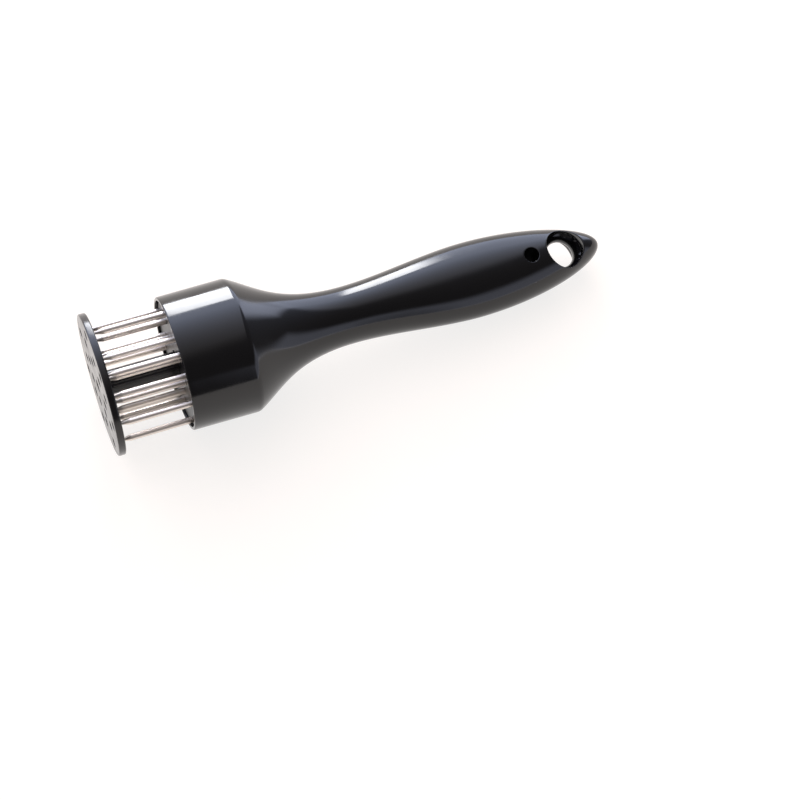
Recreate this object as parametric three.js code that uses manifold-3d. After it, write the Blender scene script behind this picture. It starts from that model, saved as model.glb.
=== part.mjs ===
// Needle meat tenderizer, lying on its side: +X runs from the guard's front face along the tool to the
// tip of the handle, +Z runs along the hang hole's axis. The origin is the centre of the guard's front
// face. Millimetres.
import * as THREE from 'three';
import { mergeVertices } from 'three/addons/utils/BufferGeometryUtils.js';
import Module from 'manifold-3d';

const wasm = await Module();
wasm.setup();

// Clearances
const SEAT_GAP = 0.3;
const POST_CLEARANCE = 0.45;
const WASHER_CLEARANCE = 0.3;
const NEEDLE_CLEARANCE = 0.5;
const SCREW_HEAD_CLEARANCE = 0.9;
const CUT_OVERRUN = 2;

// Guard: the perforated disc that slides back, with its centre post. It stands a little past the collar.
const GUARD_OVERHANG = 1.1;
const GUARD_THICKNESS = 2.5;
const GUARD_EDGE_ROUND = 0.5;
const GUARD_COUNTERSINK = 0.6;
const GUARD_TRAVEL = 24;
const POST_RADIUS = 4.25;
const POST_FILLET = 1.2;
const REST_GAP = 24.4;

// Needles: three rings of seven, spread between the post's hole and the holder's edge. The turns are
// shares of the angle between two needles of a ring.
const INNER_RING_SHARE = 0.29;
const MIDDLE_RING_SHARE = 0.59;
const OUTER_RING_SHARE = 0.885;
const RINGS_TURN_SHARE = 0.84;
const MIDDLE_RING_EXTRA_TURN_SHARE = 0.5;
const NEEDLES_PER_RING = 7;
const NEEDLE_RADIUS = 1.1;
const NEEDLE_TAPER = 4;
const NEEDLE_TIP_DEPTH = 0.6;
const NEEDLE_HEAD_LIP = 0.5;
const NEEDLE_HEAD_THICKNESS = 1;

// Needle holder and the steel plate behind the needles' heads
const HOLDER_RECESS = 1;
const HOLDER_THICKNESS = 12;
const HOLDER_CHAMFER = 0.4;
const PLATE_THICKNESS = 1.2;

// Handle: one moulding with the collar, the flare and the grip
const SHOULDER_RADIUS = 23.9;
const COLLAR_LENGTH = 23.9;
const COLLAR_DRAFT = 0.2;
const COLLAR_WALL = 1.2;
const COLLAR_RIM_ROUND = 0.5;
const FLARE_LENGTH = 39;
const NECK_WALL = 4.7;
const NECK_EXTRA_HALF_THICKNESS = 0.8;
const SWELL_LENGTH = 47.6;
const SWELL_HALF_WIDTH = 13.9;
const SWELL_HALF_THICKNESS = 11.3;
const TAIL_LENGTH = 49.1;

// How the grip's two middle control points lie between each stretch's ends: along it, then from its
// start value to its end value for the width and the thickness
const FLARE_SHARES = [
  [0.25, 0.37, 0.46],
  [0.42, 1, 0.98],
];
const SWELL_SHARES = [
  [0.33, 0, 0],
  [0.67, 1, 1],
];
const TAIL_SHARES = [
  [0.52, 0, 0],
  [1, 0.53, 0],
];

// Hang hole with rounded mouths, and the blind core hole before it
const HANG_HOLE_FROM_TIP = 14.9;
const HANG_HOLE_RADIUS = 5;
const HANG_MOUTH_ROUND = 4.5;
const HANG_MOUTH_REACH_SHARE = 0.84;
const CORE_HOLE_SPACING = 13.5;
const CORE_HOLE_RADIUS = 2.75;
const CORE_HOLE_DEPTH = 11;
const CORE_HOLE_POINT = 1.2;

// Spring bore, spring, washer and screw. The bore is wider than the post's hole by the ledge that stops
// the washer.
const WASHER_LEDGE = 0.8;
const WASHER_THICKNESS = 1;
const SCREW_SHANK_RADIUS = 1.5;
const SCREW_SHANK_LENGTH = 11;
const SCREW_HEAD_HEIGHT = 2;
const SCREW_RECESS_WIDTH = 0.8;
const SCREW_RECESS_LENGTH = 3.4;
const SCREW_RECESS_DEPTH = 1.1;
const PILOT_DEPTH = 13;
const WIRE_RADIUS = 0.5;
const SPRING_TURNS = 12;
const SPRING_END_PITCH = 1.5;
const SPRING_SPARE_LENGTH = 3;

// How finely the round forms are cut
const HANDLE_SIDES = 48;
const DISC_SIDES = 56;
const POST_SIDES = 24;
const NEEDLE_SIDES = 12;
const HOLE_SIDES = 12;
const MOUTH_SIDES = 28;
const MOUTH_STEPS = 5;
const ROUND_STEPS = 2;
const FLARE_STEPS = 11;
const SWELL_STEPS = 8;
const TAIL_STEPS = 13;
const HALVINGS = 40;
const SPRING_STEPS_PER_TURN = 8;
const WIRE_SIDES = 5;

// Places along the tool, worked out from the sizes
const rimX = GUARD_THICKNESS + REST_GAP;
const shoulderX = rimX + COLLAR_LENGTH;
const neckX = shoulderX + FLARE_LENGTH;
const swellX = neckX + SWELL_LENGTH;
const tipX = swellX + TAIL_LENGTH;
const holderX = rimX + HOLDER_RECESS;
const holderBackX = holderX + HOLDER_THICKNESS;
const needleTipX = GUARD_THICKNESS - NEEDLE_TIP_DEPTH;
const needleHeadX = holderBackX + SEAT_GAP;
const needleBackX = needleHeadX + NEEDLE_HEAD_THICKNESS;
const plateX = needleBackX + SEAT_GAP;
const plateBackX = plateX + PLATE_THICKNESS;
const pocketX = plateBackX + SEAT_GAP;
const washerX = pocketX;
const washerBackX = washerX + WASHER_THICKNESS;
const postEndX = washerX - SEAT_GAP;
const springX = washerBackX + SEAT_GAP;
const springSolidLength = 2 * WIRE_RADIUS * SPRING_TURNS;
const boreEndX = springX + GUARD_TRAVEL + springSolidLength + SPRING_SPARE_LENGTH;

// Radii and half widths, worked out from the sizes
const guardRadius = SHOULDER_RADIUS + GUARD_OVERHANG;
const rimRadius = SHOULDER_RADIUS - COLLAR_DRAFT;
const pocketRadius = rimRadius - COLLAR_WALL;
const discRadius = pocketRadius - SEAT_GAP;
const postHoleRadius = POST_RADIUS + POST_CLEARANCE;
const boreRadius = postHoleRadius + WASHER_LEDGE;
const washerRadius = boreRadius - WASHER_CLEARANCE;
const springRadius = boreRadius - 2 * SEAT_GAP - WIRE_RADIUS;
const screwHeadRadius = springRadius - WIRE_RADIUS - SCREW_HEAD_CLEARANCE;
const needleHeadRadius = NEEDLE_RADIUS + NEEDLE_HEAD_LIP;
const neckHalfWidth = boreRadius + NECK_WALL;
const neckHalfThickness = neckHalfWidth + NECK_EXTRA_HALF_THICKNESS;

// Solids

function solidFrom(geometry) {
  const bare = geometry.clone();
  bare.deleteAttribute('normal');
  bare.deleteAttribute('uv');
  const merged = mergeVertices(bare);
  const index = merged.index.array;
  const triVerts = [];
  for (let i = 0; i < index.length; i += 3) {
    const [a, b, c] = index.slice(i, i + 3);
    if (a !== b && b !== c && c !== a) triVerts.push(a, b, c);
  }
  return new wasm.Manifold(new wasm.Mesh({
    numProp: 3,
    vertProperties: new Float32Array(merged.attributes.position.array),
    triVerts: new Uint32Array(triVerts),
  }));
}

function geometryFrom(solid) {
  const mesh = solid.getMesh();
  const geometry = new THREE.BufferGeometry();
  geometry.setAttribute('position', new THREE.BufferAttribute(mesh.vertProperties, 3));
  geometry.setIndex(new THREE.BufferAttribute(mesh.triVerts, 1));
  geometry.computeVertexNormals();
  return geometry;
}

// Turns a profile about the tool's axis. Its points are [place along X, radius].
function turnAboutX(points, sides) {
  const profile = points.map(([x, radius]) => new THREE.Vector2(radius, x));
  return solidFrom(new THREE.LatheGeometry(profile, sides).rotateZ(-Math.PI / 2));
}

// Turns a profile about a line along Z. Its points are [place along Z, radius].
function turnAboutZ(points, sides, x) {
  const profile = points.map(([z, radius]) => new THREE.Vector2(radius, z));
  return solidFrom(new THREE.LatheGeometry(profile, sides).rotateX(Math.PI / 2).translate(x, 0, 0));
}

function cylinderAlongX(x0, x1, radius, sides) {
  return turnAboutX([[x0, 0], [x0, radius], [x1, radius], [x1, 0]], sides);
}

function throughHole(x0, x1, radius, sides) {
  return cylinderAlongX(x0 - CUT_OVERRUN, x1 + CUT_OVERRUN, radius, sides);
}

// A quarter round, turned clockwise from its start angle. Angles are from +X towards larger radii.
function roundCorner(centreX, centreRadius, size, startAngle) {
  return Array.from({ length: ROUND_STEPS + 1 }, (_, i) => {
    const angle = startAngle - (i / ROUND_STEPS) * Math.PI / 2;
    return [centreX + size * Math.cos(angle), centreRadius + size * Math.sin(angle)];
  });
}

function needlePlaces() {
  const rings = [
    { ring: 'inner', share: INNER_RING_SHARE, extraTurn: 0 },
    { ring: 'middle', share: MIDDLE_RING_SHARE, extraTurn: MIDDLE_RING_EXTRA_TURN_SHARE },
    { ring: 'outer', share: OUTER_RING_SHARE, extraTurn: 0 },
  ];
  return rings.flatMap(({ ring, share, extraTurn }) => {
    const radius = postHoleRadius + share * (discRadius - postHoleRadius);
    return Array.from({ length: NEEDLES_PER_RING }, (_, i) => {
      const angle = (i + RINGS_TURN_SHARE + extraTurn) * 2 * Math.PI / NEEDLES_PER_RING;
      return { name: `${ring}_${i + 1}`, y: radius * Math.sin(angle), z: radius * Math.cos(angle) };
    });
  });
}

function cutAtNeedles(solid, cutter) {
  return needlePlaces().reduce((rest, { y, z }) => rest.subtract(cutter.translate(0, y, z)), solid);
}

// Handle

function bezierRow(rows, t) {
  const s = 1 - t;
  const weights = [s * s * s, 3 * s * s * t, 3 * s * t * t, t * t * t];
  return rows[0].map((_, k) => weights.reduce((sum, weight, i) => sum + weight * rows[i][k], 0));
}

// A row is [place along X, half width, half thickness]
function gripStretches() {
  const ends = [
    [shoulderX, SHOULDER_RADIUS, SHOULDER_RADIUS],
    [neckX, neckHalfWidth, neckHalfThickness],
    [swellX, SWELL_HALF_WIDTH, SWELL_HALF_THICKNESS],
    [tipX, 0, 0],
  ];
  return [FLARE_SHARES, SWELL_SHARES, TAIL_SHARES].map((shares, i) => {
    const [start, end] = [ends[i], ends[i + 1]];
    const pulls = shares.map((row) => row.map((share, k) => start[k] + share * (end[k] - start[k])));
    return [start, ...pulls, end];
  });
}

function gripRowAt(x) {
  const rows = gripStretches().find((stretch) => x <= stretch[3][0]);
  let [low, high] = [0, 1];
  for (let i = 0; i < HALVINGS; i += 1) {
    const middle = (low + high) / 2;
    if (bezierRow(rows, middle)[0] < x) low = middle;
    else high = middle;
  }
  return bezierRow(rows, high);
}

function handleRows() {
  const rim = roundCorner(rimX + COLLAR_RIM_ROUND, rimRadius - COLLAR_RIM_ROUND,
    COLLAR_RIM_ROUND, Math.PI).map(([x, radius]) => [x, radius, radius]);
  const steps = [FLARE_STEPS, SWELL_STEPS, TAIL_STEPS];
  const grip = gripStretches().flatMap((rows, i) => (
    Array.from({ length: steps[i] }, (_, step) => bezierRow(rows, step / steps[i]))
  ));
  return [...rim, ...grip];
}

// Joins oval sections into one skin, with a flat front and a rounded tip
function handleBody() {
  const rows = handleRows();
  const positions = [];
  for (const [x, halfWidth, halfThickness] of rows) {
    for (let i = 0; i < HANDLE_SIDES; i += 1) {
      const angle = i * 2 * Math.PI / HANDLE_SIDES;
      positions.push(x, halfWidth * Math.cos(angle), halfThickness * Math.sin(angle));
    }
  }
  const front = rows.length * HANDLE_SIDES;
  const tip = front + 1;
  positions.push(rimX, 0, 0, tipX, 0, 0);
  const index = [];
  for (let i = 0; i < HANDLE_SIDES; i += 1) {
    const next = (i + 1) % HANDLE_SIDES;
    index.push(front, next, i);
    for (let row = 0; row < rows.length - 1; row += 1) {
      const a = row * HANDLE_SIDES;
      const b = a + HANDLE_SIDES;
      index.push(a + i, a + next, b + next, a + i, b + next, b + i);
    }
    const last = (rows.length - 1) * HANDLE_SIDES;
    index.push(last + i, last + next, tip);
  }
  const geometry = new THREE.BufferGeometry();
  geometry.setAttribute('position', new THREE.Float32BufferAttribute(positions, 3));
  geometry.setIndex(index);
  return solidFrom(geometry);
}

function headCavity() {
  return turnAboutX([
    [rimX - CUT_OVERRUN, 0],
    [rimX - CUT_OVERRUN, pocketRadius],
    [pocketX, pocketRadius],
    [pocketX, boreRadius],
    [boreEndX, boreRadius],
    [boreEndX, 0],
  ], DISC_SIDES);
}

function hangHole() {
  const profile = [];
  for (let i = -MOUTH_STEPS; i <= MOUTH_STEPS; i += 1) {
    const z = (i / MOUTH_STEPS) * HANG_MOUTH_REACH_SHARE * HANG_MOUTH_ROUND;
    const flare = HANG_MOUTH_ROUND - Math.sqrt(HANG_MOUTH_ROUND ** 2 - z ** 2);
    profile.push([z, HANG_HOLE_RADIUS + flare]);
  }
  const [bottom, top] = [profile[0], profile[profile.length - 1]];
  const end = SWELL_HALF_THICKNESS + CUT_OVERRUN;
  return turnAboutZ([
    [-end, 0], [-end, bottom[1]], ...profile, [end, top[1]], [end, 0],
  ], MOUTH_SIDES, tipX - HANG_HOLE_FROM_TIP);
}

function coreHole() {
  const x = tipX - HANG_HOLE_FROM_TIP - CORE_HOLE_SPACING;
  const top = gripRowAt(x)[2];
  const bottom = top - CORE_HOLE_DEPTH;
  return turnAboutZ([
    [bottom, 0],
    [bottom + CORE_HOLE_POINT, CORE_HOLE_RADIUS],
    [top + CUT_OVERRUN, CORE_HOLE_RADIUS],
    [top + CUT_OVERRUN, 0],
  ], HOLE_SIDES, x);
}

function handle() {
  return handleBody().subtract(headCavity()).subtract(hangHole()).subtract(coreHole());
}

// Needle holder, plate and needles

function needleHolder() {
  const disc = turnAboutX([
    [holderX, 0],
    [holderX, discRadius - HOLDER_CHAMFER],
    [holderX + HOLDER_CHAMFER, discRadius],
    [holderBackX, discRadius],
    [holderBackX, 0],
  ], DISC_SIDES);
  const postHole = throughHole(holderX, holderBackX, postHoleRadius, POST_SIDES);
  const needleHole = throughHole(holderX, holderBackX, NEEDLE_RADIUS + SEAT_GAP, HOLE_SIDES);
  return cutAtNeedles(disc.subtract(postHole), needleHole);
}

function backingPlate() {
  const disc = cylinderAlongX(plateX, plateBackX, discRadius, DISC_SIDES);
  return disc.subtract(throughHole(plateX, plateBackX, postHoleRadius, POST_SIDES));
}

function needle(y, z) {
  return turnAboutX([
    [needleTipX, 0],
    [needleTipX + NEEDLE_TAPER, NEEDLE_RADIUS],
    [needleHeadX, NEEDLE_RADIUS],
    [needleHeadX, needleHeadRadius],
    [needleBackX, needleHeadRadius],
    [needleBackX, 0],
  ], NEEDLE_SIDES).translate(0, y, z);
}

// Guard with its post, and what holds and returns it

function guard() {
  const disc = turnAboutX([
    [0, 0],
    ...roundCorner(GUARD_EDGE_ROUND, guardRadius - GUARD_EDGE_ROUND, GUARD_EDGE_ROUND, Math.PI),
    ...roundCorner(GUARD_THICKNESS - GUARD_EDGE_ROUND, guardRadius - GUARD_EDGE_ROUND,
      GUARD_EDGE_ROUND, Math.PI / 2),
    [GUARD_THICKNESS, 0],
  ], DISC_SIDES);
  const holeRadius = NEEDLE_RADIUS + NEEDLE_CLEARANCE;
  const needleHole = turnAboutX([
    [-CUT_OVERRUN, 0],
    [-CUT_OVERRUN, holeRadius + GUARD_COUNTERSINK],
    [0, holeRadius + GUARD_COUNTERSINK],
    [GUARD_COUNTERSINK, holeRadius],
    [GUARD_THICKNESS + CUT_OVERRUN, holeRadius],
    [GUARD_THICKNESS + CUT_OVERRUN, 0],
  ], HOLE_SIDES);
  const fillet = Array.from({ length: ROUND_STEPS + 1 }, (_, i) => {
    const angle = (i / ROUND_STEPS) * Math.PI / 2;
    return [
      GUARD_THICKNESS + POST_FILLET * (1 - Math.cos(angle)),
      POST_RADIUS + POST_FILLET * (1 - Math.sin(angle)),
    ];
  });
  const post = turnAboutX([
    [GUARD_THICKNESS / 2, 0],
    [GUARD_THICKNESS / 2, POST_RADIUS + POST_FILLET],
    ...fillet,
    [postEndX, POST_RADIUS],
    [postEndX, 0],
  ], POST_SIDES);
  const pilot = cylinderAlongX(
    postEndX - PILOT_DEPTH, postEndX + CUT_OVERRUN, SCREW_SHANK_RADIUS + SEAT_GAP, HOLE_SIDES);
  return cutAtNeedles(disc, needleHole).add(post).subtract(pilot);
}

function retainingWasher() {
  const holeRadius = SCREW_SHANK_RADIUS + SEAT_GAP;
  return turnAboutX([
    [washerX, holeRadius],
    [washerX, washerRadius],
    [washerBackX, washerRadius],
    [washerBackX, holeRadius],
    [washerX, holeRadius],
  ], POST_SIDES);
}

function retainingScrew() {
  const headX = washerBackX + SEAT_GAP;
  const headEndX = headX + SCREW_HEAD_HEIGHT;
  const body = turnAboutX([
    [headX - SCREW_SHANK_LENGTH, 0],
    [headX - SCREW_SHANK_LENGTH + SCREW_SHANK_RADIUS, SCREW_SHANK_RADIUS],
    [headX, SCREW_SHANK_RADIUS],
    [headX, screwHeadRadius],
    [headEndX - SCREW_HEAD_HEIGHT / 2, screwHeadRadius],
    [headEndX, screwHeadRadius * Math.SQRT1_2],
    [headEndX, 0],
  ], POST_SIDES);
  const depth = SCREW_RECESS_DEPTH + CUT_OVERRUN;
  const arm = new THREE.BoxGeometry(depth, SCREW_RECESS_LENGTH, SCREW_RECESS_WIDTH)
    .translate(headEndX - SCREW_RECESS_DEPTH + depth / 2, 0, 0);
  const across = arm.clone().rotateX(Math.PI / 2);
  return body.subtract(solidFrom(arm)).subtract(solidFrom(across));
}

// The spring's centre line: end turns wound close, the rest spread evenly between them
function springCentres() {
  const startX = springX + WIRE_RADIUS;
  const endX = boreEndX - SEAT_GAP - WIRE_RADIUS;
  const openPitch = (endX - startX - 2 * SPRING_END_PITCH) / (SPRING_TURNS - 2);
  const count = SPRING_TURNS * SPRING_STEPS_PER_TURN;
  return Array.from({ length: count + 1 }, (_, i) => {
    const turn = i / SPRING_STEPS_PER_TURN;
    const startTurn = Math.min(turn, 1);
    const endTurn = Math.max(turn - (SPRING_TURNS - 1), 0);
    const openTurn = turn - startTurn - endTurn;
    const angle = 2 * Math.PI * turn;
    const out = new THREE.Vector3(0, Math.cos(angle), Math.sin(angle));
    const x = startX + (startTurn + endTurn) * SPRING_END_PITCH + openTurn * openPitch;
    return { out, centre: out.clone().multiplyScalar(springRadius).setX(x) };
  });
}

function springLeastGap() {
  const centres = springCentres().map(({ centre }) => centre);
  let least = Infinity;
  centres.forEach((a, i) => {
    centres.slice(i + SPRING_STEPS_PER_TURN / 2).forEach((b) => {
      least = Math.min(least, a.distanceTo(b) - 2 * WIRE_RADIUS);
    });
  });
  return least;
}

function returnSpring() {
  const rings = springCentres();
  const along = new THREE.Vector3(1, 0, 0);
  const positions = [];
  for (const { out, centre } of rings) {
    for (let i = 0; i < WIRE_SIDES; i += 1) {
      const angle = i * 2 * Math.PI / WIRE_SIDES;
      const point = centre.clone()
        .addScaledVector(out, WIRE_RADIUS * Math.cos(angle))
        .addScaledVector(along, WIRE_RADIUS * Math.sin(angle));
      positions.push(...point);
    }
  }
  positions.push(...rings[0].centre, ...rings[rings.length - 1].centre);
  const start = rings.length * WIRE_SIDES;
  const last = (rings.length - 1) * WIRE_SIDES;
  const index = [];
  for (let i = 0; i < WIRE_SIDES; i += 1) {
    const next = (i + 1) % WIRE_SIDES;
    index.push(start, i, next, start + 1, last + next, last + i);
    for (let a = 0; a < last; a += WIRE_SIDES) {
      const b = a + WIRE_SIDES;
      index.push(a + i, b + i, b + next, a + i, b + next, a + next);
    }
  }
  const geometry = new THREE.BufferGeometry();
  geometry.setAttribute('position', new THREE.Float32BufferAttribute(positions, 3));
  geometry.setIndex(index);
  return solidFrom(geometry);
}

// Materials

const blackPlastic = { color: 0x17171b, roughness: 0.18, metalness: 0 };
const innerPlastic = { color: 0x1b1b1e, roughness: 0.35, metalness: 0 };
const polishedSteel = { color: 0xd9d4cf, roughness: 0.16, metalness: 1 };
const plainSteel = { color: 0xb4b2ae, roughness: 0.35, metalness: 1 };
const springSteel = { color: 0x8f8f92, roughness: 0.4, metalness: 1 };

function named(name, solid, finish) {
  const mesh = new THREE.Mesh(geometryFrom(solid), new THREE.MeshStandardMaterial(finish));
  mesh.name = name;
  return mesh;
}

const tenderizer = new THREE.Group();
tenderizer.add(
  named('handle', handle(), blackPlastic),
  named('needle_holder', needleHolder(), innerPlastic),
  named('backing_plate', backingPlate(), plainSteel),
  named('guard', guard(), blackPlastic),
  named('retaining_washer', retainingWasher(), plainSteel),
  named('retaining_screw', retainingScrew(), plainSteel),
  named('return_spring', returnSpring(), springSteel),
);
for (const { name, y, z } of needlePlaces()) {
  tenderizer.add(named(`needle_${name}`, needle(y, z), polishedSteel));
}

console.log(`return_spring least gap to itself ${springLeastGap().toFixed(2)} mm`);

export default tenderizer;
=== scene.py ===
"""A needle meat tenderizer: a black moulded handle, a sprung guard disc and 21 polished steel needles.

The tool lies on its side on a pale floor. Sizes are in millimetres until a mesh is made, and places
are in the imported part's own frame: +X from the guard to the handle's tip, +Z along the hang hole.
"""

import math

import bmesh
import bpy
import numpy as np
from mathutils import Matrix, Vector
from mathutils.geometry import delaunay_2d_cdt

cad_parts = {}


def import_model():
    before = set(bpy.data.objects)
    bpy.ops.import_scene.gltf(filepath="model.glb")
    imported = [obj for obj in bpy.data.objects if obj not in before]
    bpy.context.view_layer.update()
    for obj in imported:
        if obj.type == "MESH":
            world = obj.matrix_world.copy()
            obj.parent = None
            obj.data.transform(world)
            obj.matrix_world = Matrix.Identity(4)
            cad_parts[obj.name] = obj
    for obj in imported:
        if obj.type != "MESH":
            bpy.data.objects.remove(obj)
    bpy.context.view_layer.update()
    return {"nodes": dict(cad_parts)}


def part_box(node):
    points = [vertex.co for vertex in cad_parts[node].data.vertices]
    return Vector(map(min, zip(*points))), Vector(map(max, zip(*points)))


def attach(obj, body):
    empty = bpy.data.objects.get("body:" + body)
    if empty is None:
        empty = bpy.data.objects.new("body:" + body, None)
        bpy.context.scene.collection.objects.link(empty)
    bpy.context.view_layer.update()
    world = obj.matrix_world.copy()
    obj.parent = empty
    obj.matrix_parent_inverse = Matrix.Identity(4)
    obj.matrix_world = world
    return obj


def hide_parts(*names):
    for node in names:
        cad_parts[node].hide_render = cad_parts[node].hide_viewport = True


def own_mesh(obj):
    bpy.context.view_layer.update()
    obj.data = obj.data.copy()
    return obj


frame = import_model()

MM = 0.001


def corners(node):
    """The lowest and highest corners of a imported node, in millimetres."""
    low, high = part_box(node)
    return low / MM, high / MM


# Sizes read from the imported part
handle_low, handle_high = corners("handle")
_, guard_high = corners("guard")
holder_low, holder_high = corners("needle_holder")
_, plate_high = corners("backing_plate")
spring_low, spring_high = corners("return_spring")
NEEDLE_NODES = sorted(
    name for name in frame["nodes"] if name.startswith("needle_") and name[-1].isdigit())

RIM_X = handle_low.x
TIP_X = handle_high.x
SHOULDER_RADIUS = handle_high.z
GUARD_RADIUS = guard_high.z
POST_END_X = guard_high.x
DISC_RADIUS = holder_high.z
SPRING_OUTER_RADIUS = spring_high.z

# Driving sizes that a box doesn't give
SEAT_GAP = 0.3
COLLAR_LENGTH = 23.9
COLLAR_DRAFT = 0.2
COLLAR_WALL = 1.2
RIM_ROUND = 0.5
RIM_INNER_ROUND = 0.2
SHOULDER_ROUND = 0.9
FLARE_LENGTH = 39
NECK_HALF_WIDTH = 10.2
NECK_HALF_THICKNESS = 11
SWELL_LENGTH = 47.6
SWELL_HALF_WIDTH = 13.9
SWELL_HALF_THICKNESS = 11.3
BORE_RADIUS = 5.5

HANG_HOLE_FROM_TIP = 14.9
HANG_HOLE_RADIUS = 5
HANG_MOUTH_ROUND = 4.5
HANG_MOUTH_REACH = 3.78
HANG_LIP = 0.5
HANG_WAIST_HALF_BAND = 0.3
CORE_HOLE_SPACING = 13.5
CORE_HOLE_RADIUS = 2.75
CORE_HOLE_DEPTH = 11
CORE_HOLE_LIP = 0.25

GUARD_THICKNESS = 2.5
GUARD_EDGE_ROUND = 0.5
GUARD_HOLE_RADIUS = 1.6
GUARD_HOLE_LIP = 0.6
GUARD_BACK_LIP = 0.25
GATE_MARK_RADIUS = 2.4
GATE_MARK_DEPTH = 0.3
POST_RADIUS = 4.25
POST_FILLET = 1.2
POST_CHAMFER = 0.4
POST_HOLE_RADIUS = 4.7
PILOT_RADIUS = 1.8
PILOT_DEPTH = 13

HOLDER_CHAMFER = 0.4
NEEDLE_RADIUS = 1.1
NEEDLE_FIT = 0.06
NEEDLE_TAPER = 4
NEEDLE_TAPER_ROUND = 0.3
NEEDLE_POINT_RADIUS = 0.16
NEEDLE_POINT_FULLNESS = 0.7
NEEDLE_HEAD_THICKNESS = 1

WIRE_RADIUS = 0.5
SPRING_TURNS = 12
SPRING_END_PITCH = 1.5

# How the grip's two middle control points lie between each stretch's ends: along it, then from its
# start value to its end value for the width and the thickness
FLARE_SHARES = ((0.25, 0.37, 0.46), (0.42, 1, 0.98))
SWELL_SHARES = ((0.33, 0, 0), (0.67, 1, 1))
TAIL_SHARES = ((0.52, 0, 0), (1, 0.53, 0))

SHOULDER_X = RIM_X + COLLAR_LENGTH
NECK_X = SHOULDER_X + FLARE_LENGTH
SWELL_X = NECK_X + SWELL_LENGTH
HANG_HOLE_X = TIP_X - HANG_HOLE_FROM_TIP
CORE_HOLE_X = HANG_HOLE_X - CORE_HOLE_SPACING
RIM_RADIUS = SHOULDER_RADIUS - COLLAR_DRAFT
POCKET_RADIUS = RIM_RADIUS - COLLAR_WALL
POCKET_X = plate_high.x + SEAT_GAP
BORE_END_X = spring_high.x + SEAT_GAP

# How finely the round forms are made
HANDLE_SIDES = 192
DISC_SIDES = 160
POST_SIDES = 64
HOLE_SIDES = 32
NEEDLE_SIDES = 32
WIRE_SIDES = 12
SPRING_STEPS_PER_TURN = 32
ROUND_STEPS = 6
COLLAR_STEPS = 16
FLARE_STEPS = 56
SWELL_STEPS = 50
TAIL_STEPS = 76
TABLE_STEPS = 600

# The grip's own rows begin at least this far past the shoulder's round
CREASE_CLEARANCE = 0.2
# Points of a flat face that are nearer than this count as one
WELD_DISTANCE = 1e-5
# How often a search between two values halves its range
HALVINGS = 40


# Camera, fitted to the photo's head circles, the grip's outline and the hang hole. One millimetre at the
# tool is about 2.9 pixels of the 800 in the frame.
CAMERA_PLACE = Vector((-44.45, -154.94, 590.41)) * MM
CAMERA_RIGHT = Vector((0.9329, -0.3232, 0.1591))
CAMERA_UP = Vector((0.2773, 0.9261, 0.2557))
CAMERA_LENS = 80
CAMERA_SENSOR = 36
CAMERA_NEAR = 10


def camera():
    data = bpy.data.cameras.new("camera")
    data.lens = CAMERA_LENS
    data.sensor_width = CAMERA_SENSOR
    data.clip_start = CAMERA_NEAR * MM
    right = CAMERA_RIGHT.normalized()
    back = right.cross(CAMERA_UP).normalized()
    up = back.cross(right)
    turn = Matrix((right, up, back)).transposed().to_4x4()
    made = bpy.data.objects.new("camera", data)
    made.matrix_world = Matrix.Translation(CAMERA_PLACE) @ turn
    bpy.context.scene.collection.objects.link(made)
    bpy.context.scene.camera = made


# Meshes


class Shell:
    """The points and faces of one closed piece, in millimetres."""

    def __init__(self):
        self.points = []
        self.faces = []

    def ring(self, points):
        """Adds a ring of points, and gives back their numbers."""
        start = len(self.points)
        self.points.extend(points)
        return list(range(start, len(self.points)))

    def join(self, ring, other):
        """Adds the band of faces between two rings with as many points."""
        for i, j in zip(range(len(ring)), [*range(1, len(ring)), 0]):
            self.faces.append((ring[i], ring[j], other[j], other[i]))

    def close(self, ring, point):
        """Closes a ring with a fan of faces to one point."""
        (tip,) = self.ring([point])
        for i, j in zip(ring, [*ring[1:], ring[0]]):
            self.faces.append((i, j, tip))

    def turned(self, profile, sides, centre=(0, 0)):
        """Turns a profile of (place along X, radius) about a line along X, and gives back its rings."""
        angles = [step * 2 * math.pi / sides for step in range(sides)]
        rings = []
        for x, radius in profile:
            rings.append(self.ring([
                (x, centre[0] + radius * math.cos(angle), centre[1] + radius * math.sin(angle))
                for angle in angles
            ]))
        for ring, other in zip(rings, rings[1:]):
            self.join(ring, other)
        return rings

    def flat_face(self, outer, holes):
        """Fills the flat face between an outer ring and the rings of its holes."""
        loops = [outer, *holes]
        members = [index for loop in loops for index in loop]
        hole_of = {index: number for number, loop in enumerate(holes) for index in loop}
        place = {index: i for i, index in enumerate(members)}
        edges = [(place[a], place[b]) for loop in loops for a, b in zip(loop, [*loop[1:], loop[0]])]
        flat = [Vector(self.points[index][1:]) for index in members]
        _, _, triangles, sources, _, _ = delaunay_2d_cdt(flat, edges, [], 0, WELD_DISTANCE)
        for triangle in triangles:
            face = [members[sources[corner][0]] for corner in triangle]
            owners = {hole_of.get(index) for index in face}
            if len(owners) > 1 or None in owners:
                self.faces.append(face)


def quarter_round(x, radius, size, start_degrees):
    """A quarter round of (place along X, radius) points, turned clockwise from its start angle."""
    points = []
    for step in range(ROUND_STEPS + 1):
        angle = math.radians(start_degrees - 90 * step / ROUND_STEPS)
        points.append((x + size * math.cos(angle), radius + size * math.sin(angle)))
    return points


def blend_corner(start, corner, end, steps):
    """Points from start to end that leave and arrive along the two sides of a corner."""
    start, corner, end = (np.array(point, float) for point in (start, corner, end))
    points = []
    for step in range(steps + 1):
        t = step / steps
        points.append((1 - t) ** 2 * start + 2 * t * (1 - t) * corner + t * t * end)
    return points


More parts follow.
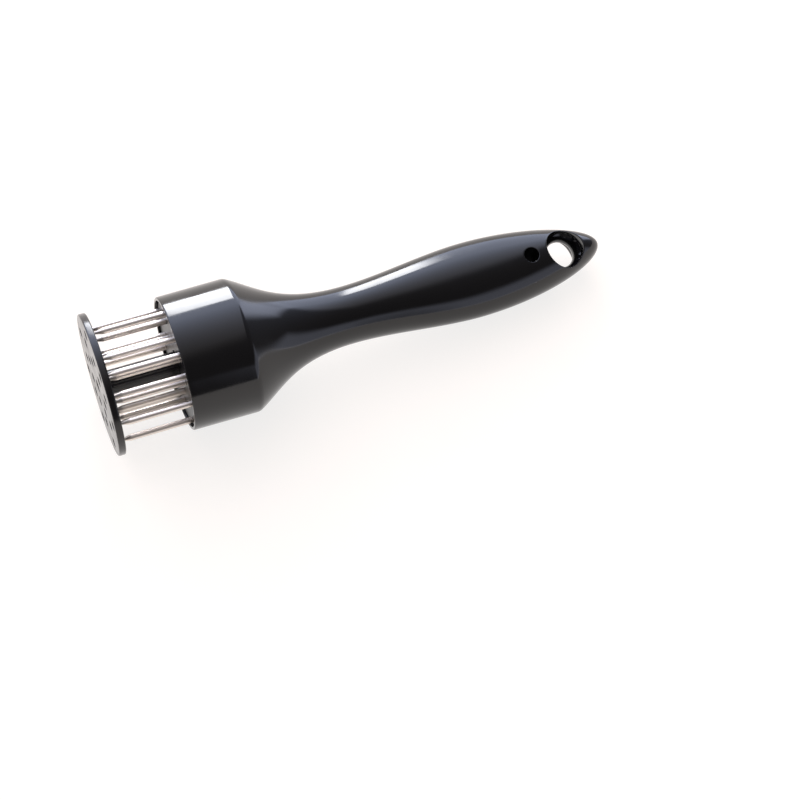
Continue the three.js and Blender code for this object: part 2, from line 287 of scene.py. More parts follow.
def piece(name, shell, material, body, replaced, sharp_degrees=40):
    """Makes a visible piece from a shell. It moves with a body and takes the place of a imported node."""
    mesh = bpy.data.meshes.new(name)
    mesh.from_pydata([Vector(point) * MM for point in shell.points], [], shell.faces)
    faces = bmesh.new()
    faces.from_mesh(mesh)
    bmesh.ops.recalc_face_normals(faces, faces=faces.faces)
    faces.to_mesh(mesh)
    faces.free()
    mesh.shade_smooth()
    mesh.set_sharp_from_angle(angle=math.radians(sharp_degrees))
    mesh.materials.append(material)
    made = bpy.data.objects.new(name, mesh)
    bpy.context.scene.collection.objects.link(made)
    weighted = made.modifiers.new("even_flats", "WEIGHTED_NORMAL")
    weighted.keep_sharp = True
    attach(made, body)
    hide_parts(replaced)
    return made


# Handle


def bezier(controls, t):
    """A point on a cubic curve, from t = 0 at its first control to t = 1 at its last."""
    s = 1 - t
    weights = (s ** 3, 3 * s * s * t, 3 * s * t * t, t ** 3)
    return sum(weight * control for weight, control in zip(weights, controls))


def grip_stretches():
    """Each stretch's four control rows of (place along X, half width, half thickness)."""
    ends = [
        np.array((SHOULDER_X, SHOULDER_RADIUS, SHOULDER_RADIUS)),
        np.array((NECK_X, NECK_HALF_WIDTH, NECK_HALF_THICKNESS)),
        np.array((SWELL_X, SWELL_HALF_WIDTH, SWELL_HALF_THICKNESS)),
        np.array((TIP_X, 0, 0)),
    ]
    stretches = []
    for shares, start, end in zip((FLARE_SHARES, SWELL_SHARES, TAIL_SHARES), ends, ends[1:]):
        pulls = [start + np.array(row) * (end - start) for row in shares]
        stretches.append((start, *pulls, end))
    return stretches


def grip_rows(counts):
    """Rows along the grip, with a count of steps for each stretch. The tip's own row isn't among them."""
    rows = []
    for controls, count in zip(grip_stretches(), counts):
        rows += [bezier(controls, step / count) for step in range(count)]
    return rows


grip_table = np.array([*grip_rows([TABLE_STEPS] * 3), grip_stretches()[-1][-1]])


def grip_at(x):
    """The half width and half thickness of the grip at a place along X."""
    return tuple(np.interp(x, grip_table[:, 0], grip_table[:, k]) for k in (1, 2))


def skin_height(x, y, side):
    """The height of the grip's skin at (x, y), on its upper side (1) or its lower side (-1)."""
    half_width, half_thickness = grip_at(x)
    return side * half_thickness * math.sqrt(max(0, 1 - (y / half_width) ** 2))


def outer_rows():
    """The rows of the handle's skin, from the rim's round to the last one before the tip."""
    rim_round = quarter_round(RIM_X + RIM_ROUND, RIM_RADIUS - RIM_ROUND, RIM_ROUND, 180)
    rim = [(x, radius, radius) for x, radius in rim_round]
    start = np.array(rim[-1])
    shoulder = grip_stretches()[0][0]
    reach = SHOULDER_ROUND / (shoulder[0] - start[0])
    collar_end = shoulder + reach * (start - shoulder)
    collar = [start + (collar_end - start) * step / COLLAR_STEPS for step in range(1, COLLAR_STEPS)]
    past = SHOULDER_X + SHOULDER_ROUND
    crease = blend_corner(collar_end, shoulder, (past, *grip_at(past)), ROUND_STEPS)
    grip_start = past + CREASE_CLEARANCE
    grip = [row for row in grip_rows((FLARE_STEPS, SWELL_STEPS, TAIL_STEPS)) if row[0] > grip_start]
    return [*rim, *collar, *crease, *grip]


def inner_rows():
    """The rows of the head's pocket and the spring's bore, from the bore's closed end to the rim."""
    profile = [
        (BORE_END_X, BORE_RADIUS / 2),
        (BORE_END_X, BORE_RADIUS),
        ((BORE_END_X + POCKET_X) / 2, BORE_RADIUS),
        (POCKET_X, BORE_RADIUS),
        (POCKET_X, (BORE_RADIUS + POCKET_RADIUS) / 2),
        (POCKET_X, POCKET_RADIUS),
        ((POCKET_X + RIM_X) / 2, POCKET_RADIUS),
        *quarter_round(RIM_X + RIM_INNER_ROUND, POCKET_RADIUS + RIM_INNER_ROUND, RIM_INNER_ROUND, 270),
    ]
    return [(x, radius, radius) for x, radius in profile]


class Window:
    """A block of the skin's faces that is left out, with the loop of points around it."""

    def __init__(self, rings, first_ring, last_ring, middle_side, reach):
        self.rings = range(first_ring, last_ring)
        self.sides = range(middle_side - reach, middle_side + reach)
        low, high = middle_side - reach, middle_side + reach
        self.loop = [rings[first_ring][side] for side in range(low, high)]
        self.loop += [rings[ring][high] for ring in range(first_ring, last_ring)]
        self.loop += [rings[last_ring][side] for side in range(high, low, -1)]
        self.loop += [rings[ring][low] for ring in range(last_ring, first_ring, -1)]

    def holds(self, ring, side):
        return ring in self.rings and side in self.sides


def hole_rays(shell, loop, centre_x):
    """The direction in plan and the distance from a hole's line to each point of a window's loop."""
    rays = []
    for index in loop:
        x, y, _ = shell.points[index]
        distance = math.hypot(x - centre_x, y)
        rays.append(((x - centre_x) / distance, y / distance, distance))
    return rays


def mouth_radius(height):
    """The hang hole's radius at a height. Its waist is at height zero."""
    reach = min(abs(height), HANG_MOUTH_REACH)
    return HANG_HOLE_RADIUS + HANG_MOUTH_ROUND - math.sqrt(HANG_MOUTH_ROUND ** 2 - reach ** 2)


def hole_edge(ray, centre_x, side, radius_at):
    """How far out along a ray the wall of a hole meets the skin."""
    low, high = 0, ray[2]
    for _ in range(HALVINGS):
        middle = (low + high) / 2
        height = skin_height(centre_x + ray[0] * middle, ray[1] * middle, side)
        if radius_at(height) > middle:
            low = middle
        else:
            high = middle
    return high


def cut_mouth(shell, loop, centre_x, side, radius_at, lip, skin_steps):
    """Carries the skin from a window's loop to a hole and over its rounded lip. Gives back the last
    ring."""
    rays = hole_rays(shell, loop, centre_x)
    rings = [[] for _ in range(skin_steps + ROUND_STEPS)]
    for ray in rays:
        def on_skin(distance, ray=ray):
            x, y = centre_x + ray[0] * distance, ray[1] * distance
            return np.array((distance, skin_height(x, y, side)))

        edge = hole_edge(ray, centre_x, side, radius_at)
        steps = np.linspace(ray[2], edge + lip, skin_steps + 1)[1:]
        section = [on_skin(distance) for distance in steps]
        corner = on_skin(edge)
        wall_height = corner[1] - side * lip
        wall = np.array((radius_at(wall_height), wall_height))
        section += blend_corner(section[-1], corner, wall, ROUND_STEPS)[1:]
        for ring, (distance, height) in zip(rings, section):
            ring.append((centre_x + ray[0] * distance, ray[1] * distance, height))
    last = loop
    for ring in rings:
        added = shell.ring(ring)
        shell.join(last, added)
        last = added
    return last


def wall_rings(shell, ring, centre_x, target_height, radius_at, steps):
    """Carries a hole's wall from a ring to a level height. Gives back the last ring."""
    starts = [shell.points[index] for index in ring]
    last = ring
    for step in range(1, steps + 1):
        points = []
        for x, y, z in starts:
            height = z + (target_height - z) * step / steps
            stretch = radius_at(height) / math.hypot(x - centre_x, y)
            points.append((centre_x + (x - centre_x) * stretch, y * stretch, height))
        added = shell.ring(points)
        shell.join(last, added)
        last = added
    return last


# How far the windows reach round the skin, counted in its sides
HANG_WINDOW_SIDES = 34
CORE_WINDOW_SIDES = 10
# How far they reach along it from each hole's line
HANG_WINDOW_BEFORE = 8.9
HANG_WINDOW_AFTER = 9.3
CORE_WINDOW_BEFORE = 4.3
# How many rings carry the skin in to each hole, and how many its wall
MOUTH_SKIN_STEPS = 6
CORE_SKIN_STEPS = 3
HOLE_WALL_STEPS = 16


def handle_shell():
    """The one-piece handle: collar, shoulder, flare and grip, with the hang hole and the core hole."""
    shell = Shell()
    angles = [side * 2 * math.pi / HANDLE_SIDES for side in range(HANDLE_SIDES)]
    rings = []
    rows = [*inner_rows(), *outer_rows()]
    for x, half_width, half_thickness in rows:
        rings.append(shell.ring([
            (x, half_width * math.cos(angle), half_thickness * math.sin(angle)) for angle in angles
        ]))
    outer_start = len(inner_rows())

    def ring_near(x):
        return min(range(outer_start, len(rows)), key=lambda number: abs(rows[number][0] - x))

    top, bottom = HANDLE_SIDES // 4, 3 * HANDLE_SIDES // 4
    hang_start = ring_near(HANG_HOLE_X - HANG_WINDOW_BEFORE)
    hang_end = ring_near(HANG_HOLE_X + HANG_WINDOW_AFTER)
    core_start = ring_near(CORE_HOLE_X - CORE_WINDOW_BEFORE)
    upper = Window(rings, hang_start, hang_end, top, HANG_WINDOW_SIDES)
    lower = Window(rings, hang_start, hang_end, bottom, HANG_WINDOW_SIDES)
    core = Window(rings, core_start, hang_start, top, CORE_WINDOW_SIDES)

    for number in range(len(rings) - 1):
        for side in range(HANDLE_SIDES):
            if not any(window.holds(number, side) for window in (upper, lower, core)):
                beside = (side + 1) % HANDLE_SIDES
                ring, after = rings[number], rings[number + 1]
                shell.faces.append((ring[side], ring[beside], after[beside], after[side]))
    shell.close(rings[0], (BORE_END_X, 0, 0))
    shell.close(rings[-1], (TIP_X, 0, 0))

    # The hang hole: its two mouths meet at the waist
    ring_of = {
        index: (number, side) for number, ring in enumerate(rings) for side, index in enumerate(ring)
    }
    lower_loop = []
    for index in upper.loop:
        number, side = ring_of[index]
        lower_loop.append(rings[number][-side])
    ends = []
    for loop, side in ((upper.loop, 1), (lower_loop, -1)):
        lip = cut_mouth(shell, loop, HANG_HOLE_X, side, mouth_radius, HANG_LIP, MOUTH_SKIN_STEPS)
        waist = side * HANG_WAIST_HALF_BAND
        ends.append(wall_rings(shell, lip, HANG_HOLE_X, waist, mouth_radius, HOLE_WALL_STEPS))
    shell.join(*ends)

    # The blind core hole beside it
    def core_radius(_):
        return CORE_HOLE_RADIUS

    lip = cut_mouth(shell, core.loop, CORE_HOLE_X, 1, core_radius, CORE_HOLE_LIP, CORE_SKIN_STEPS)
    floor_height = skin_height(CORE_HOLE_X, 0, 1) - CORE_HOLE_DEPTH
    floor_ring = wall_rings(shell, lip, CORE_HOLE_X, floor_height, core_radius, HOLE_WALL_STEPS)
    shell.close(floor_ring, (CORE_HOLE_X, 0, floor_height))
    return shell


# Guard, needle holder and needles


def needle_centres():
    """Where each needle's line crosses the guard, as (Y, Z)."""
    centres = {}
    for name in NEEDLE_NODES:
        low, high = corners(name)
        centres[name] = ((low.y + high.y) / 2, (low.z + high.z) / 2)
    return centres


def guard_shell():
    """The guard: a disc with a hole for each needle and a gate mark, and the post that slides inside."""
    shell = Shell()
    inner = GUARD_RADIUS - GUARD_EDGE_ROUND
    edge = shell.turned([
        *quarter_round(GUARD_EDGE_ROUND, inner, GUARD_EDGE_ROUND, 180),
        *quarter_round(GUARD_THICKNESS - GUARD_EDGE_ROUND, inner, GUARD_EDGE_ROUND, 90),
    ], DISC_SIDES)
    lip = GUARD_HOLE_RADIUS + GUARD_HOLE_LIP
    back_lip = GUARD_HOLE_RADIUS + GUARD_BACK_LIP
    lining_profile = [
        *blend_corner(
            (0, lip), (0, GUARD_HOLE_RADIUS), (GUARD_HOLE_LIP, GUARD_HOLE_RADIUS), ROUND_STEPS),
        *blend_corner(
            (GUARD_THICKNESS - GUARD_BACK_LIP, GUARD_HOLE_RADIUS), (GUARD_THICKNESS, GUARD_HOLE_RADIUS),
            (GUARD_THICKNESS, back_lip), ROUND_STEPS),
    ]
    linings = [shell.turned(lining_profile, HOLE_SIDES, centre) for centre in needle_centres().values()]

    gate = shell.turned(blend_corner(
        (0, GATE_MARK_RADIUS), (GATE_MARK_DEPTH, GATE_MARK_RADIUS),
        (GATE_MARK_DEPTH, GATE_MARK_RADIUS / 2), ROUND_STEPS), HOLE_SIDES)
    shell.close(gate[-1], (GATE_MARK_DEPTH, 0, 0))
    shell.flat_face(edge[0], [gate[0], *(rings[0] for rings in linings)])

    fillet = blend_corner(
        (GUARD_THICKNESS, POST_RADIUS + POST_FILLET), (GUARD_THICKNESS, POST_RADIUS),
        (GUARD_THICKNESS + POST_FILLET, POST_RADIUS), ROUND_STEPS)
    pilot_end = POST_END_X - PILOT_DEPTH
    post = shell.turned([
        *fillet,
        ((GUARD_THICKNESS + POST_END_X) / 2, POST_RADIUS),
        (POST_END_X - POST_CHAMFER, POST_RADIUS),
        (POST_END_X, POST_RADIUS - POST_CHAMFER),
        (POST_END_X, PILOT_RADIUS),
        (pilot_end, PILOT_RADIUS),
    ], POST_SIDES)
    shell.close(post[-1], (pilot_end, 0, 0))
    shell.flat_face(edge[-1], [post[0], *(rings[-1] for rings in linings)])
    return shell


def holder_shell():
    """The disc that holds the needles, with a hole for each and one for the guard's post."""
    shell = Shell()
    edge = shell.turned([
        (holder_low.x, DISC_RADIUS - HOLDER_CHAMFER),
        (holder_low.x + HOLDER_CHAMFER, DISC_RADIUS),
        (holder_high.x, DISC_RADIUS),
    ], DISC_SIDES)
    hole = NEEDLE_RADIUS + NEEDLE_FIT
    linings = [
        shell.turned([(holder_low.x, hole), (holder_high.x, hole)], HOLE_SIDES, centre)
        for centre in needle_centres().values()
    ]
    linings.append(shell.turned(
        [(holder_low.x, POST_HOLE_RADIUS), (holder_high.x, POST_HOLE_RADIUS)], POST_SIDES))
    shell.flat_face(edge[0], [rings[0] for rings in linings])
    shell.flat_face(edge[-1], [rings[-1] for rings in linings])
    return shell


def needle_shell(name):
    """One needle: a blunted point, a ground taper, the drawn shank and the upset head behind the
    holder."""
    low, high = corners(name)
    centre = needle_centres()[name]
    head_radius = (high.y - low.y) / 2
    head_x = high.x - NEEDLE_HEAD_THICKNESS
    shell = Shell()
    taper_end = low.x + NEEDLE_TAPER
    rings = shell.turned([
        (low.x + NEEDLE_POINT_RADIUS / 3, NEEDLE_POINT_RADIUS * NEEDLE_POINT_FULLNESS),
        (low.x + NEEDLE_POINT_RADIUS, NEEDLE_POINT_RADIUS),
        ((low.x + taper_end) / 2, (NEEDLE_POINT_RADIUS + NEEDLE_RADIUS) / 2),
        *blend_corner(
            (taper_end - NEEDLE_TAPER_ROUND, NEEDLE_RADIUS - NEEDLE_TAPER_ROUND / NEEDLE_TAPER),
            (taper_end, NEEDLE_RADIUS),
            (taper_end + NEEDLE_TAPER_ROUND, NEEDLE_RADIUS), ROUND_STEPS // 2),
        ((taper_end + head_x) / 2, NEEDLE_RADIUS),
        (head_x, NEEDLE_RADIUS),
        (head_x, head_radius),
        (high.x, head_radius),
    ], NEEDLE_SIDES, centre)
    shell.close(rings[0], (low.x, *centre))
    shell.close(rings[-1], (high.x, *centre))
    return shell


def spring_shell():
    """The return spring: one close turn at each end, and the others evenly spread."""
    radius = SPRING_OUTER_RADIUS - WIRE_RADIUS
    start_x, end_x = spring_low.x + WIRE_RADIUS, spring_high.x - WIRE_RADIUS
    open_pitch = (end_x - start_x - 2 * SPRING_END_PITCH) / (SPRING_TURNS - 2)
    shell = Shell()
    rings = []
    for step in range(SPRING_TURNS * SPRING_STEPS_PER_TURN + 1):
        turn = step / SPRING_STEPS_PER_TURN
        start_turn = min(turn, 1)
        end_turn = max(turn - (SPRING_TURNS - 1), 0)
        open_turns = turn - start_turn - end_turn
        x = start_x + (start_turn + end_turn) * SPRING_END_PITCH + open_turns * open_pitch
        out = Vector((0, math.cos(2 * math.pi * turn), math.sin(2 * math.pi * turn)))
        centre = Vector((x, 0, 0)) + radius * out
        ring = []
        for side in range(WIRE_SIDES):
            angle = side * 2 * math.pi / WIRE_SIDES
            ring.append(centre + WIRE_RADIUS * (math.cos(angle) * out + Vector((math.sin(angle), 0, 0))))
        rings.append((centre, shell.ring(ring)))
    for (_, ring), (_, other) in zip(rings, rings[1:]):
        shell.join(ring, other)
    for centre, ring in (rings[0], rings[-1]):
        shell.close(ring, centre)
    return shell


# Materials


# The colour sockets of a mix node
MIX_A = 6
MIX_B = 7
MIX_RESULT = 2

# Spacings of the surface patterns. The moulded grain is drawn coarser than a real one, so that it shows.
FLOW_SPACING = 22
HANDLING_SPACING = 9
DUST_SPACING = 5.5
GRAIN_SPACING = 0.35
FIBRE_SPACING = 30
# A dust speck's full core and its soft edge, as shares of the specks' spacing
DUST_CORE = 0.018
DUST_EDGE = 0.028


def linear(hex_colour):
    """Turns an sRGB hex colour to linear RGBA."""
    channels = [int(hex_colour[i:i + 2], 16) / 255 for i in (1, 3, 5)]
    return (*(c / 12.92 if c <= 0.04045 else ((c + 0.055) / 1.055) ** 2.4 for c in channels), 1)


def per_metre(spacing_mm):
    """The texture scale that gives a pattern this spacing."""
    return 1 / (spacing_mm * MM)


def add(tree, kind, inputs=(), **settings):
    """Adds one node. Its inputs are plain values, or another node's output socket to link."""
    made = tree.nodes.new(kind)
    for name, value in settings.items():
        setattr(made, name, value)
    for name, value in dict(inputs).items():
        if isinstance(value, bpy.types.NodeSocket):
            tree.links.new(value, made.inputs[name])
        else:
            made.inputs[name].default_value = value
    return made


def new_material(name):
    material = bpy.data.materials.new(name)
    material.use_nodes = True
    material.node_tree.nodes.clear()
    return material, material.node_tree


def moulded_abs(name, dark, light, polish, haze, waviness_mm, specks):
    """Injection-moulded black ABS: a deep black with a hard gloss. Cooling leaves faint waves in the
    reflections, handling leaves a slight haze, and a few dust specks catch the light."""
    material, tree = new_material(name)
    place = add(tree, "ShaderNodeTexCoord").outputs["Object"]
    flow = add(tree, "ShaderNodeTexNoise", {
        "Vector": place, "Scale": per_metre(FLOW_SPACING), "Detail": 2,
    })
    colour = add(tree, "ShaderNodeMix", {
        "Factor": flow.outputs["Fac"], MIX_A: linear(dark), MIX_B: linear(light),
    }, data_type="RGBA")

    speck = add(tree, "ShaderNodeTexVoronoi", {"Vector": place, "Scale": per_metre(DUST_SPACING)})
    speck_dots = add(tree, "ShaderNodeMapRange", {
        "Value": speck.outputs["Distance"], "From Min": DUST_EDGE, "From Max": DUST_CORE, "To Max": specks,
    })
    dusty = add(tree, "ShaderNodeMix", {
        "Factor": speck_dots.outputs["Result"],
        MIX_A: colour.outputs[MIX_RESULT], MIX_B: linear("#8d8f94"),
    }, data_type="RGBA")

    handling = add(tree, "ShaderNodeTexNoise", {
        "Vector": place, "Scale": per_metre(HANDLING_SPACING), "Detail": 5,
    })
    gloss = add(tree, "ShaderNodeMapRange", {
        "Value": handling.outputs["Fac"], "From Min": 0.3, "From Max": 0.75,
        "To Min": polish, "To Max": haze,
    })
    waves = add(tree, "ShaderNodeTexNoise", {
        "Vector": place, "Scale": per_metre(waviness_mm), "Detail": 1,
    })
    slow_bump = add(tree, "ShaderNodeBump", {
        "Height": waves.outputs["Fac"], "Strength": 0.12, "Distance": 0.25 * MM,
    })
    grain = add(tree, "ShaderNodeTexNoise", {
        "Vector": place, "Scale": per_metre(GRAIN_SPACING), "Detail": 2,
    })
    bump = add(tree, "ShaderNodeBump", {
        "Height": grain.outputs["Fac"], "Strength": 0.05, "Distance": 0.01 * MM,
        "Normal": slow_bump.outputs["Normal"],
    })
    skin = add(tree, "ShaderNodeBsdfPrincipled", {
        "Base Color": dusty.outputs[MIX_RESULT], "Roughness": gloss.outputs["Result"], "IOR": 1.5,
        "Normal": bump.outputs["Normal"],
    })
    add(tree, "ShaderNodeOutputMaterial", {"Surface": skin.outputs["BSDF"]})
    return material


def steel(name, base, streak, smooth, rough, line_mm, along):
    """Stainless steel with the fine lines of drawing, rolling or grinding, which stretch each highlight
    across them. The scale along each axis draws the lines out where it is small, and gives an even
    mottle where all three are alike. Real lines are finer than a pixel here, so these are coarser."""
    material, tree = new_material(name)
    place = add(tree, "ShaderNodeTexCoord").outputs["Object"]
    lines_place = add(tree, "ShaderNodeMapping", {"Vector": place, "Scale": along})
    lines = add(tree, "ShaderNodeTexNoise", {
        "Vector": lines_place.outputs["Vector"], "Scale": per_metre(line_mm), "Detail": 3,
    })
    colour = add(tree, "ShaderNodeMix", {
        "Factor": lines.outputs["Fac"], MIX_A: linear(base), MIX_B: linear(streak),
    }, data_type="RGBA")
    gloss = add(tree, "ShaderNodeMapRange", {
        "Value": lines.outputs["Fac"], "From Min": 0.3, "From Max": 0.7,
        "To Min": smooth, "To Max": rough,
    })
    bump = add(tree, "ShaderNodeBump", {
        "Height": lines.outputs["Fac"], "Strength": 0.06, "Distance": 0.02 * MM,
    })
    skin = add(tree, "ShaderNodeBsdfPrincipled", {
        "Base Color": colour.outputs[MIX_RESULT], "Metallic": 1, "Roughness": gloss.outputs["Result"],
        "Normal": bump.outputs["Normal"],
    })
    add(tree, "ShaderNodeOutputMaterial", {"Surface": skin.outputs["BSDF"]})
    return material


# Studio


# The tool has rolled a little on the floor. It rests on the guard's rim and on the grip's underside.
REST_ROLL = math.radians(12)
STEEPEST_PITCH = math.radians(20)
FLOOR_SIZE = 5000

# The light that the board adds where it is seen or mirrored, which brings it up to white
WHITE_LIFT = 0.8

# How many times stronger the room's light would get from straight above the tool to straight across it,
# and how far across a direction points where it stops rising
ROOM_RISE = 8
BRIGHTEST_ACROSS = 0.72
# The light that is added in every direction
EVEN_LIGHT = 0.12
# The darker wall past the tool's tip: where its soft edge begins and ends, and the shares of the room's
# light before it and on it
END_WALL_START = 0.3
END_WALL_FULL = 0.42
ROOM_SHARE = 0.82
END_WALL_SHARE = 0.16


def sinking(normal, x, half_width, half_thickness):
    """How far an oval section reaches down along a floor's normal."""
    return math.hypot(half_width * normal.y, half_thickness * normal.z) - normal.x * x


def resting_floor():
    """The floor's upward normal, and how far the guard's rim reaches down along it."""
    low, high = 0, STEEPEST_PITCH
    for _ in range(HALVINGS):
        pitch = (low + high) / 2
        cosine = math.cos(pitch)
        normal = Vector((-math.sin(pitch), cosine * math.sin(REST_ROLL), cosine * math.cos(REST_ROLL)))
        guard_depth = sinking(normal, GUARD_THICKNESS / 2, GUARD_RADIUS, GUARD_RADIUS)
        if guard_depth > max(sinking(normal, *row) for row in grip_table[TABLE_STEPS:]):
            low = pitch
        else:
            high = pitch
    return normal, guard_depth


floor_up, floor_depth = resting_floor()
floor_along = (Vector((1, 0, 0)) - floor_up.x * floor_up).normalized()
floor_across = floor_up.cross(floor_along)


def on_floor(along, across, up):
    """A place in the studio: along the tool, across it and up from the floor."""
    return along * floor_along + across * floor_across + (up - floor_depth) * floor_up


def floor():
    """Warm pale board that keeps the tool's soft shadow. It is lifted to white alike where it is seen and
    where metal or gloss mirrors it."""
    material, tree = new_material("pale_board")
    rays = add(tree, "ShaderNodeLightPath").outputs
    place = add(tree, "ShaderNodeTexCoord").outputs["Object"]
    fibres = add(tree, "ShaderNodeTexNoise", {
        "Vector": place, "Scale": per_metre(FIBRE_SPACING), "Detail": 3,
    })
    board = add(tree, "ShaderNodeMix", {
        "Factor": fibres.outputs["Fac"], MIX_A: linear("#9c8c7b"), MIX_B: linear("#968675"),
    }, data_type="RGBA")
    matt = add(tree, "ShaderNodeBsdfDiffuse", {"Color": board.outputs[MIX_RESULT]})

    mirrored = add(tree, "ShaderNodeMath", {
        0: rays["Is Glossy Ray"], 1: rays["Is Transmission Ray"],
    }, operation="MAXIMUM")
    seen = add(tree, "ShaderNodeMath", {
        0: rays["Is Camera Ray"], 1: mirrored.outputs[0],
    }, operation="MAXIMUM")
    lift = add(tree, "ShaderNodeMath", {0: seen.outputs[0], 1: WHITE_LIFT}, operation="MULTIPLY")
    glow = add(tree, "ShaderNodeEmission", {"Color": linear("#ffffff"), "Strength": lift.outputs[0]})
    both = add(tree, "ShaderNodeAddShader", {0: matt.outputs[0], 1: glow.outputs[0]})
    add(tree, "ShaderNodeOutputMaterial", {"Surface": both.outputs[0]})

    half = FLOOR_SIZE / 2
    corners_round = ((-half, -half), (half, -half), (half, half), (-half, half))
    mesh = bpy.data.meshes.new("floor")
    mesh.from_pydata([on_floor(x, y, 0) * MM for x, y in corners_round], [], [(0, 1, 2, 3)])
    mesh.materials.append(material)
    made = bpy.data.objects.new("floor", mesh)
    bpy.context.scene.collection.objects.link(made)


def softbox(name, bearing_degrees, distance, width, height, fade, radiance, colour, lean_degrees=0):
    """A lamp that stands on the floor with a rectangular face towards the tool's middle. Its power follows
    from how bright that face is. The face fades out towards its sides and top, but not at the floor. It
    can lean towards the tool's tip."""
    bearing = math.radians(bearing_degrees)
    middle = (TIP_X / 2 + distance * math.cos(bearing), distance * math.sin(bearing))
    data = bpy.data.lights.new(name, "AREA")
    data.shape = "RECTANGLE"
    data.size = width * MM
    data.size_y = height * MM
    data.energy = radiance * math.pi * data.size * data.size_y
    data.color = linear(colour)[:3]

    data.use_nodes = True
    tree = data.node_tree
    tree.nodes.clear()
    place = add(tree, "ShaderNodeNewGeometry").outputs["Parametric"]
    face = add(tree, "ShaderNodeSeparateXYZ", {0: place}).outputs
    to_side = add(tree, "ShaderNodeMath", {0: face["X"], 1: 0.5}, operation="PINGPONG")
    from_side = add(tree, "ShaderNodeMath", {0: to_side.outputs[0], 1: width}, operation="MULTIPLY")
    below_top = add(tree, "ShaderNodeMath", {
        0: face["Y"], 1: -height, 2: height,
    }, operation="MULTIPLY_ADD")
    inside = add(tree, "ShaderNodeMath", {
        0: from_side.outputs[0], 1: below_top.outputs[0],
    }, operation="MINIMUM")
    share = add(tree, "ShaderNodeMapRange", {
        "Value": inside.outputs[0], "From Max": fade,
    }, interpolation_type="SMOOTHSTEP")
    glow = add(tree, "ShaderNodeEmission", {"Strength": share.outputs["Result"]})
    add(tree, "ShaderNodeOutputLight", {"Surface": glow.outputs[0]})

    lean = math.radians(lean_degrees)
    facing = math.cos(bearing) * floor_along + math.sin(bearing) * floor_across
    upright = math.cos(lean) * floor_up + math.sin(lean) * facing.cross(floor_up)
    turn = Matrix((upright.cross(facing), upright, facing)).transposed().to_4x4()
    made = bpy.data.objects.new(name, data)
    made.matrix_world = Matrix.Translation(on_floor(*middle, height / 2) * MM) @ turn
    bpy.context.scene.collection.objects.link(made)


def world():
    """A room that brightens smoothly from its dark side, across the tool, to its window side, with a
    darker wall past the tool's tip."""
    made = bpy.data.worlds.new("studio")
    made.use_nodes = True
    tree = made.node_tree
    tree.nodes.clear()
    towards = add(tree, "ShaderNodeTexCoord").outputs["Generated"]
    across = add(tree, "ShaderNodeVectorMath", {0: towards, 1: floor_across}, operation="DOT_PRODUCT")
    rise = add(tree, "ShaderNodeMath", {
        0: across.outputs["Value"], 1: BRIGHTEST_ACROSS,
    }, operation="MINIMUM")
    brightness = add(tree, "ShaderNodeMath", {0: ROOM_RISE, 1: rise.outputs[0]}, operation="POWER")

    wall_side = floor_along - floor_across / 2
    past_tip = add(tree, "ShaderNodeVectorMath", {0: towards, 1: wall_side}, operation="DOT_PRODUCT")
    end_wall = add(tree, "ShaderNodeMapRange", {
        "Value": past_tip.outputs["Value"], "From Min": END_WALL_START, "From Max": END_WALL_FULL,
        "To Min": ROOM_SHARE, "To Max": END_WALL_SHARE,
    })
    strength = add(tree, "ShaderNodeMath", {
        0: brightness.outputs[0], 1: end_wall.outputs["Result"], 2: EVEN_LIGHT,
    }, operation="MULTIPLY_ADD")

    side = add(tree, "ShaderNodeMapRange", {
        "Value": across.outputs["Value"], "From Min": -0.3, "From Max": 0.6,
    })
    colour = add(tree, "ShaderNodeMix", {
        "Factor": side.outputs["Result"], MIX_A: linear("#ece6e8"), MIX_B: linear("#dae3fd"),
    }, data_type="RGBA")
    light = add(tree, "ShaderNodeBackground", {
        "Color": colour.outputs[MIX_RESULT], "Strength": strength.outputs[0],
    })
    add(tree, "ShaderNodeOutputWorld", {"Surface": light.outputs[0]})
    bpy.context.scene.world = made


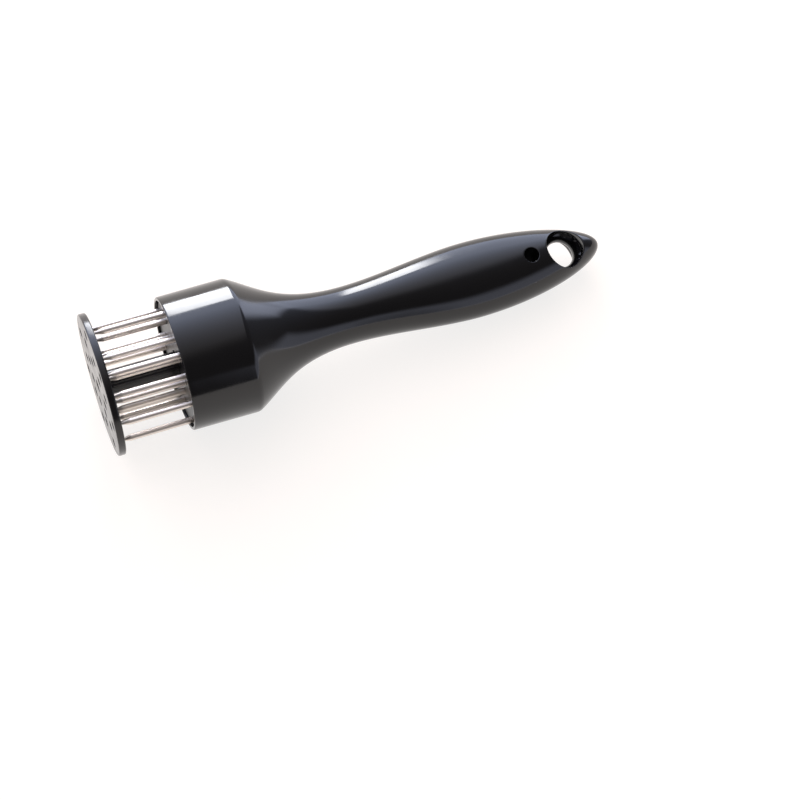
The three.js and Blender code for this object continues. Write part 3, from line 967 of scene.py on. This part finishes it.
def studio():
    world()
    floor()
    softbox(
        "window", bearing_degrees=80.5, distance=2027, width=450, height=1250, fade=50,
        radiance=15, colour="#ffffff", lean_degrees=12)
    softbox(
        "far_window", bearing_degrees=34, distance=900, width=600, height=520, fade=240,
        radiance=3.3, colour="#dee6ff")
    softbox(
        "front_box", bearing_degrees=-50, distance=700, width=1060, height=470, fade=240,
        radiance=1.15, colour="#e4e9ff")


# Put together

camera()
studio()
scene = bpy.context.scene
scene.view_settings.view_transform = "Standard"

handle_abs = moulded_abs(
    "gloss_moulded_abs", dark="#080707", light="#0d0c0e", polish=0.09, haze=0.17, waviness_mm=14,
    specks=0.5)
guard_abs = moulded_abs(
    "satin_moulded_abs", dark="#0d0b0b", light="#171415", polish=0.16, haze=0.26, waviness_mm=8,
    specks=0.2)
holder_abs = moulded_abs(
    "inner_moulded_abs", dark="#0f0e10", light="#19181a", polish=0.3, haze=0.42, waviness_mm=8,
    specks=0)
# The needles' pale cream colour is partly the steel's own bright grey and partly a painted warm
# reflection: it is brighter and warmer than bare stainless, as if tan surroundings shone in it.
needle_steel = steel(
    "ground_needle_steel", base="#efe6dd", streak="#ddd2c6", smooth=0.3, rough=0.42, line_mm=0.4,
    along=(0.02, 1, 1))
plate_steel = steel(
    "rolled_plate_steel", base="#b9b6b1", streak="#96928d", smooth=0.3, rough=0.45, line_mm=0.4,
    along=(1, 0.05, 1))
spring_steel = steel(
    "drawn_spring_wire", base="#8e8c8a", streak="#6d6a68", smooth=0.3, rough=0.5, line_mm=0.3,
    along=(1, 1, 1))

piece("handle_moulding", handle_shell(), handle_abs, "handle_body", "handle")
piece("guard_moulding", guard_shell(), guard_abs, "guard_body", "guard")
piece("holder_moulding", holder_shell(), holder_abs, "handle_body", "needle_holder")
for node in NEEDLE_NODES:
    fine_name = node.replace("needle", "fine_needle")
    piece(fine_name, needle_shell(node), needle_steel, "handle_body", node)
spring = piece(
    "wound_spring", spring_shell(), spring_steel, "handle_body", "return_spring")
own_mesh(spring)

for node in ("backing_plate", "retaining_washer", "retaining_screw"):
    frame["nodes"][node].data.materials.clear()
    frame["nodes"][node].data.materials.append(plate_steel)
